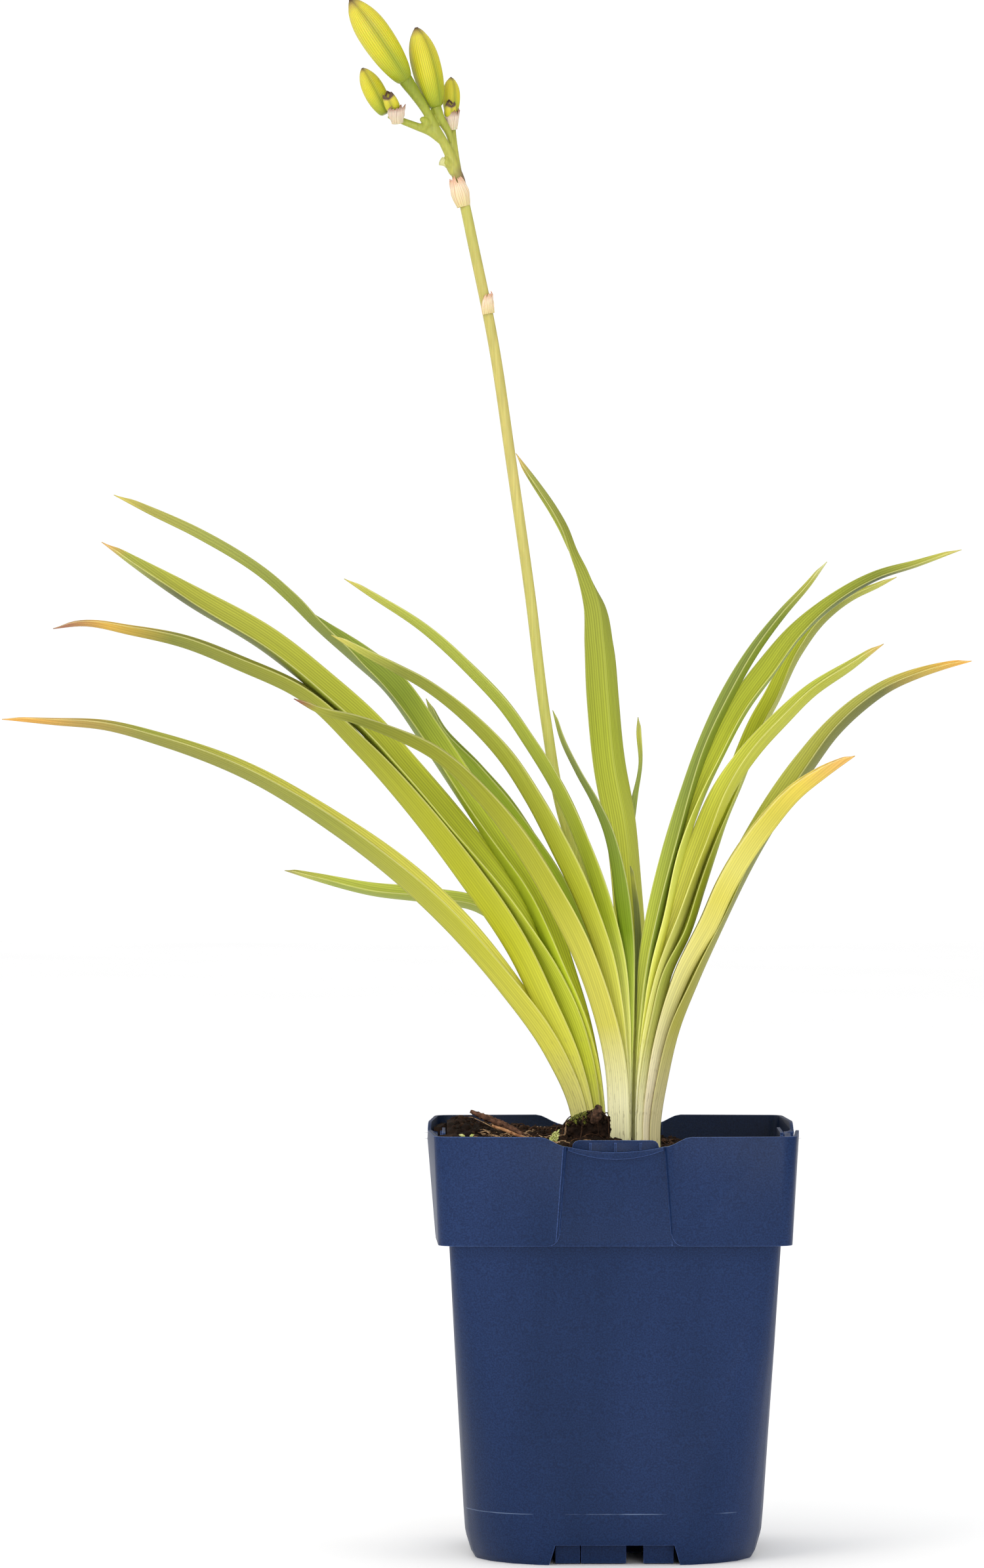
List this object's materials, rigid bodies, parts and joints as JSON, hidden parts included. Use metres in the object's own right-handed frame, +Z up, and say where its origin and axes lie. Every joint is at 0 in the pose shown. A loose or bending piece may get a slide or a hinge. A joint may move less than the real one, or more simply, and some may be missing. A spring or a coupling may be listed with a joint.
{
  "type": "daylily plant in a pot",
  "caption": "Young daylily with keeled arching strap leaves and a leaning budded flower scape, growing in soil in a square plastic nursery pot.",
  "frame": {"origin": "centre of the pot's underside, on the surface it stands on", "axes": "+X to the right of the front view, +Y to the back, +Z up; the leaf fans spread in the XZ plane"},
  "size_m": [0.358, 0.2097, 0.5767],
  "materials": {
    "pot_plastic": "dark navy injection-moulded plastic with a fine grain",
    "compost": "moist dark brown peat and bark compost",
    "bark": "dry orange-brown bark and roots",
    "moss": "pale soft moss",
    "leaf": "yellow-green satin leaf with fine parallel veins",
    "leaf_yellow": "ageing yellow leaf with an orange tip",
    "scape": "smooth yellow-green flower stem",
    "bud": "smooth ribbed yellow-green bud with a brown tip",
    "bract": "dry papery peach-coloured scale"
  },
  "bodies": {
    "root": {"pot": "pot_plastic", "soil": "compost", "stick": "bark", "bark_flake": "bark", "root_piece": "bark", "moss_tuft": "moss", "left_leaf_1": "leaf", "left_leaf_2": "leaf", "left_leaf_3": "leaf", "left_leaf_4": "leaf", "main_left_leaf_1": "leaf", "main_left_leaf_2": "leaf", "main_left_leaf_3": "leaf", "main_left_leaf_4": "leaf", "main_right_leaf_1": "leaf", "main_right_leaf_2": "leaf_yellow", "main_right_leaf_3": "leaf", "main_right_leaf_4": "leaf", "main_right_leaf_5": "leaf", "main_right_leaf_6": "leaf", "back_leaf_1": "leaf", "back_leaf_2": "leaf", "back_leaf_3": "leaf", "back_leaf_4": "leaf", "back_leaf_5": "leaf", "scape": "scape", "bud_a": "bud", "bud_b": "bud", "bud_c": "bud", "bud_d": "bud", "budlet_c": "bud", "budlet_d": "bud", "bract_main": "bract", "bract_scape": "bract", "bract_c": "bract", "bract_d": "bract"}
  },
  "joints": []
}
